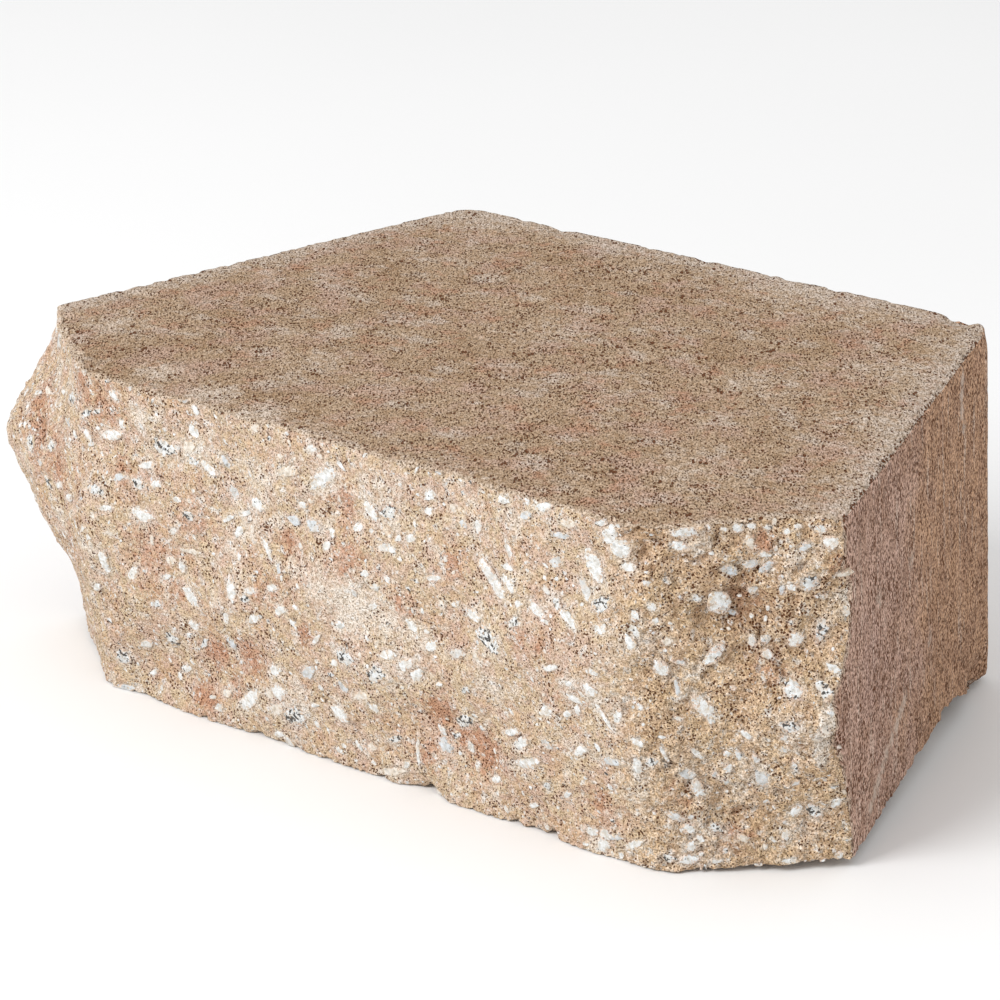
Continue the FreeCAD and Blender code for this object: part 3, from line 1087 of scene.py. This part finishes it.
def bed_material():
    look = Look("moulded_bed", 0.9, 0.12)
    look.colour = look.ramp(look.clouds(26, 5, 0.6), [(0.36, BED_BROWN), (0.52, BED_TAUPE)])
    look.over(BED_PINK, 0.8, 0.50, 0.62, 15, 4, 0.6, shift=35)
    look.over(BED_RUST, 0.75, 0.55, 0.65, 9, 4, 0.65, shift=55)
    look.over(BED_GREY, 0.7, 0.53, 0.66, 9, 4, 0.65, shift=85, stretch=(1.5, 1, 1))
    look.patch("dust", BED_DUST, 0.85, 3.5, 75)
    look.patch("edge", BED_GREY, 0.85, 3.0, 95)
    look.tint(ARRIS_TAN, arris_mask(look, 1.25, 1.6), 0.8)
    grain = look.clouds(0.5, 2, 0.6, 0, STRUCK, STRUCK_TURN)
    grit = look.clouds(1.1, 2, 0.6, 25, STRUCK, STRUCK_TURN)
    look.shade(grain, 0.52, 1.42, 0.12)
    look.shade(grit, 0.84, 1.12, 0.15)
    crowd = look.plus((look.clouds(5, 4, 0.65, shift=60), 0.9), (grain, 0.6), -0.75)
    dust = look.plus(look.mask("dust"), look.mask("edge"))
    chipped = look.between(look.mask("edge"), 0.86, 0.97)
    pore = look.plus(look.dots(0.75, 15, STRUCK, STRUCK_TURN), crowd, (dust, 0.09), (chipped, -0.25))
    pore = look.between(pore, 0.29, 0.19)
    deep = look.plus(look.dots(1.5, 35, STRUCK, STRUCK_TURN), (look.clouds(8, 4, 0.7, shift=63), 1.3),
                     (look.mask("pits_and_shade"), -0.14), -0.65)
    pore = look.math("MAXIMUM", pore, look.between(deep, 0.17, 0.10))
    look.tint(PORE, pore, 0.93)
    return look.finish((grit, 0.45), (grain, 0.3), (pore, -0.5))


SIDE_PINK = (0.465, 0.298, 0.226, 1)
SIDE_BROWN = (0.455, 0.268, 0.158, 1)
SIDE_MAUVE = (0.435, 0.280, 0.220, 1)
SIDE_PALE = (0.560, 0.440, 0.360, 1)
SIDE_DARK = (0.300, 0.170, 0.110, 1)
REAR_STAIN = (118, 150)  # depth and cloud shift added up, over which a side turns browner


def side_material():
    look = Look("moulded_side", 0.9, 0.12)
    look.colour = look.ramp(look.clouds(24, 4, 0.55, shift=20, stretch=(1, 1, 1.5)),
                            [(0.38, SIDE_MAUVE), (0.50, SIDE_PINK), (0.64, SIDE_PINK)])
    behind = look.plus(look.along("Y"), (look.clouds(18, 3, shift=31), 75))
    look.tint(SIDE_BROWN, look.between(behind, *REAR_STAIN), 0.85)
    streak = look.clouds(1.2, 3, 0.6, shift=7, stretch=(1, 1, 5))
    look.shade(streak, 0.78, 1.18)
    look.over(SIDE_PALE, 0.6, 0.57, 0.68, 2.4, 3, 0.6, shift=52, stretch=(1, 1, 9))
    look.over(SIDE_DARK, 0.5, 0.52, 0.40, 9, 4, 0.6, shift=29, stretch=(1, 1, 1.5))
    look.tint(ARRIS_TAN, arris_mask(look, 1.35, 1.65), 0.7)
    grain = look.clouds(0.6, 2, 0.6, stretch=(1, 1, 1.3))
    look.shade(grain, 0.38, 1.48, 0.12)
    crowd = look.clouds(7, 3, shift=60, stretch=(1, 1, 2))
    crowd = look.plus((crowd, 0.6), (grain, 0.5), -0.55)
    pore = look.between(look.plus(look.dots(0.9, 15, (1, 1, 1.9)), crowd), 0.375, 0.28)
    gathered = look.clouds(9, 4, 0.7, shift=43, stretch=(1, 1, 1.6))
    deep = look.plus(look.dots(1.7, 41, (1, 1, 2.6)), (gathered, 1.3), -0.65)
    pore = look.math("MAXIMUM", pore, look.between(deep, 0.16, 0.09))
    look.tint(PORE, pore, 0.9)
    look.patch("scuff", SIDE_PALE, 0.9, 1.2, 12)
    return look.finish((streak, 0.3), (grain, 0.25), (pore, -0.4))


def floor_material():
    look = Look("pale_floor", 0.85, 0.2)
    paper = look.clouds(700, 2)
    look.colour = look.ramp(paper, [(0.3, grey(0.90)), (0.7, grey(0.93))])
    return look.finish((paper, 0.1))


# The block

SEED = 7

rng = random.Random(SEED)
view = View()
packed = Packed(frame["nodes"]["block"])
shell = build_shell(packed, rng)
skin = Skin(shell, packed, view)
stones = build_stones(skin, view, packed, rng)
stones.data.materials.append(stone_material())
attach(stones, "root")

ZONE_MATERIALS = {"break": break_material(), "bed": bed_material(), "side": side_material()}
block = new_object("block_skin", inside_cad(skin.points), shell.faces, ZONE_MATERIALS.values(),
                   [list(ZONE_MATERIALS).index(zone) for zone in shell.zones])
for name, mask in skin.masks.items():
    block.data.attributes.new(name, "FLOAT", "POINT").data.foreach_set("value", mask)
block.data.shade_smooth()
block.data.set_sharp_from_angle(angle=math.radians(SHARP_ANGLE))
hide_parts("block")
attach(block, "root")


# Floor, light and camera

FLOOR_HALF = 4.0  # metres
KEY_PLACE = (-0.3, -1.85, 1.5)
KEY_SIZE = 1.0
KEY_POWER = 36  # watts
WORLD_STRENGTH = 0.8

corners = [(x * FLOOR_HALF, y * FLOOR_HALF, 0) for x, y in ((-1, -1), (1, -1), (1, 1), (-1, 1))]
floor = new_object("floor", corners, [(0, 1, 2, 3)], [floor_material()])

key = link("key", bpy.data.lights.new("key", "AREA"))
key.data.energy = KEY_POWER
key.data.size = KEY_SIZE
key.location = KEY_PLACE
key.rotation_mode = "QUATERNION"
key.rotation_quaternion = Vector(KEY_PLACE).to_track_quat("Z", "Y")

world = bpy.data.worlds.new("studio")
world.use_nodes = True
background = world.node_tree.nodes["Background"]
background.inputs["Color"].default_value = grey(1.0)
background.inputs["Strength"].default_value = WORLD_STRENGTH
bpy.context.scene.world = world
bpy.context.scene.view_settings.view_transform = "Standard"

camera = link("camera", bpy.data.cameras.new("camera"))
camera.data.lens = LENS
camera.location = view.eye
camera.rotation_mode = "QUATERNION"
camera.rotation_quaternion = view.turn
bpy.context.scene.camera = camera
